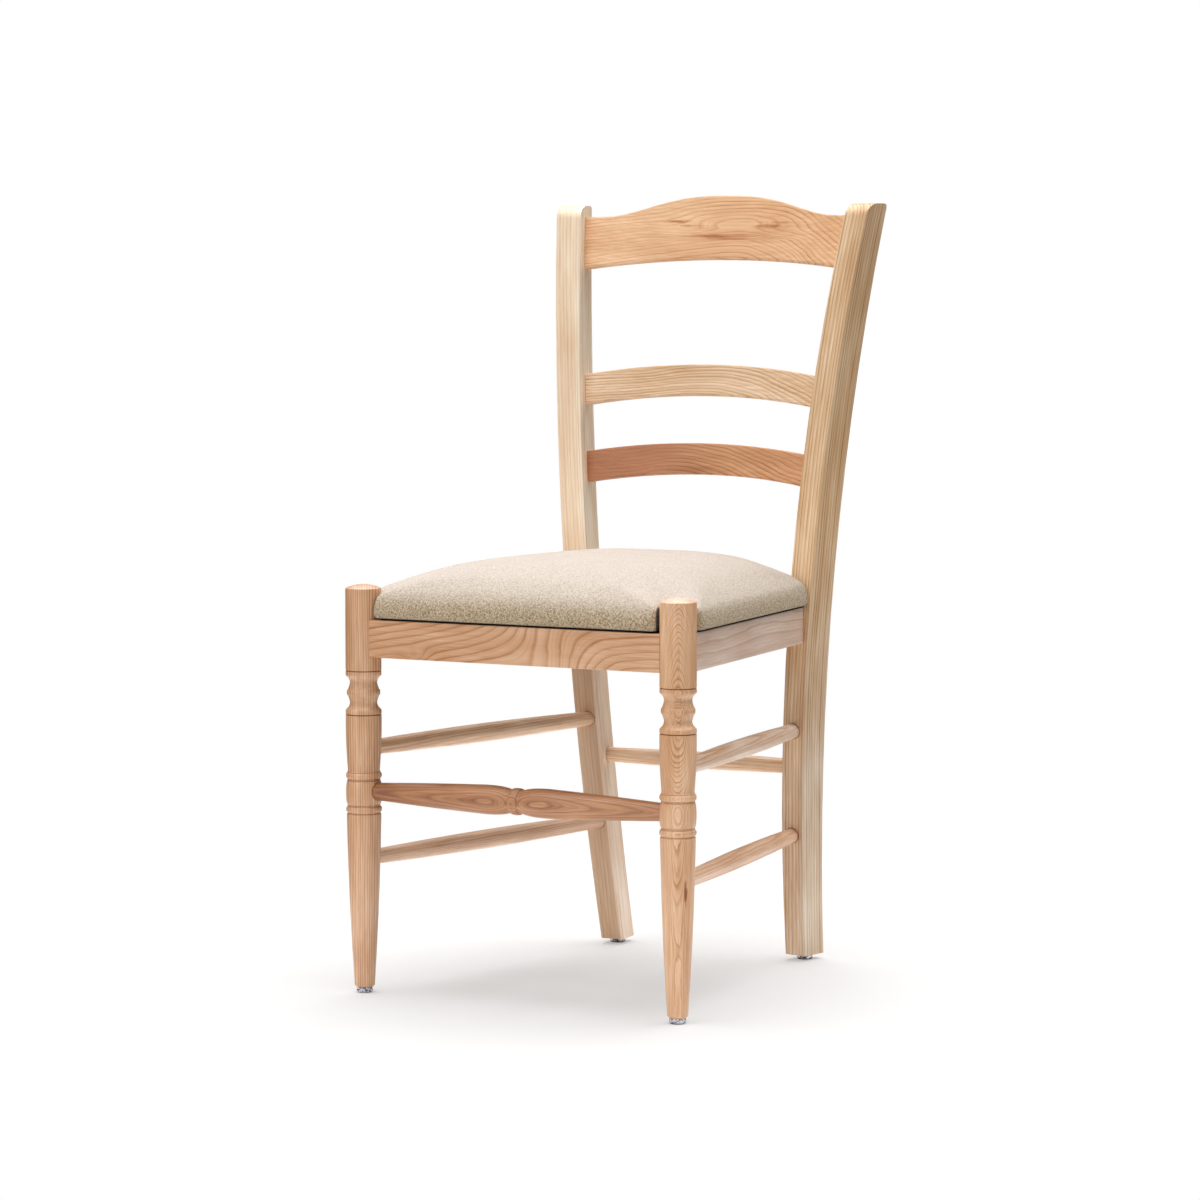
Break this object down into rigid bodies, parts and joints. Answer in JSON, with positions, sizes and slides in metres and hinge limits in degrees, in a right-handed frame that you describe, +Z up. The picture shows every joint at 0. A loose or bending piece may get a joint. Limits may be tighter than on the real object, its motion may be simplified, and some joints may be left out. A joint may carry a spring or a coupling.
{
  "type": "dining chair",
  "caption": "Ladder-back wooden side chair with turned front legs, swept back posts, curved slats, rungs and a drop-on upholstered seat pad.",
  "frame": {"origin": "centre of the chair's bounding box in plan, on the floor under its glides", "axes": "+Z up, the sitter faces -Y, and +X is to the right when the chair is seen from the front"},
  "size_m": [0.4352, 0.5066, 0.8859],
  "materials": {
    "ash_pale": "satin clear finish, pale straight-grained ash",
    "ash_tan": "satin clear finish, tan ash",
    "ash_pink": "satin clear finish, pinkish ash with a wavy figure",
    "ash_red": "satin clear finish, reddish ash",
    "block_wood": "sawn, no finish",
    "plywood": "raw plywood",
    "foam": "open-cell foam, matte",
    "fabric": "pebbly woven wool, matte",
    "black_cloth": "thin black lining cloth, matte",
    "nickel": "bright nickel plate",
    "zinc": "zinc plate"
  },
  "bodies": {
    "root": {"back_post_left": "ash_pale", "back_post_right": "ash_pale", "back_stretcher": "ash_pale", "block_screw_back_left_a": "zinc", "block_screw_back_left_b": "zinc", "block_screw_back_right_a": "zinc", "block_screw_back_right_b": "zinc", "block_screw_front_left_a": "zinc", "block_screw_front_left_b": "zinc", "block_screw_front_right_a": "zinc", "block_screw_front_right_b": "zinc", "corner_block_back_left": "block_wood", "corner_block_back_right": "block_wood", "corner_block_front_left": "block_wood", "corner_block_front_right": "block_wood", "crest_rail": "ash_pink", "front_leg_left": "ash_tan", "front_leg_right": "ash_tan", "front_stretcher": "ash_red", "glide_back_left": "nickel", "glide_back_right": "nickel", "glide_front_left": "nickel", "glide_front_right": "nickel", "glide_nail_back_left": "nickel", "glide_nail_back_right": "nickel", "glide_nail_front_left": "nickel", "glide_nail_front_right": "nickel", "lower_slat": "ash_red", "seat_board": "plywood", "seat_bottom_cloth": "black_cloth", "seat_cover": "fabric", "seat_foam": "foam", "seat_rail_back": "ash_tan", "seat_rail_front": "ash_tan", "seat_rail_left": "ash_tan", "seat_rail_right": "ash_tan", "seat_screw_back_left": "zinc", "seat_screw_back_right": "zinc", "seat_screw_front_left": "zinc", "seat_screw_front_right": "zinc", "side_stretcher_lower_left": "ash_tan", "side_stretcher_lower_right": "ash_tan", "side_stretcher_upper_left": "ash_tan", "side_stretcher_upper_right": "ash_tan", "upper_slat": "ash_tan"}
  },
  "joints": []
}
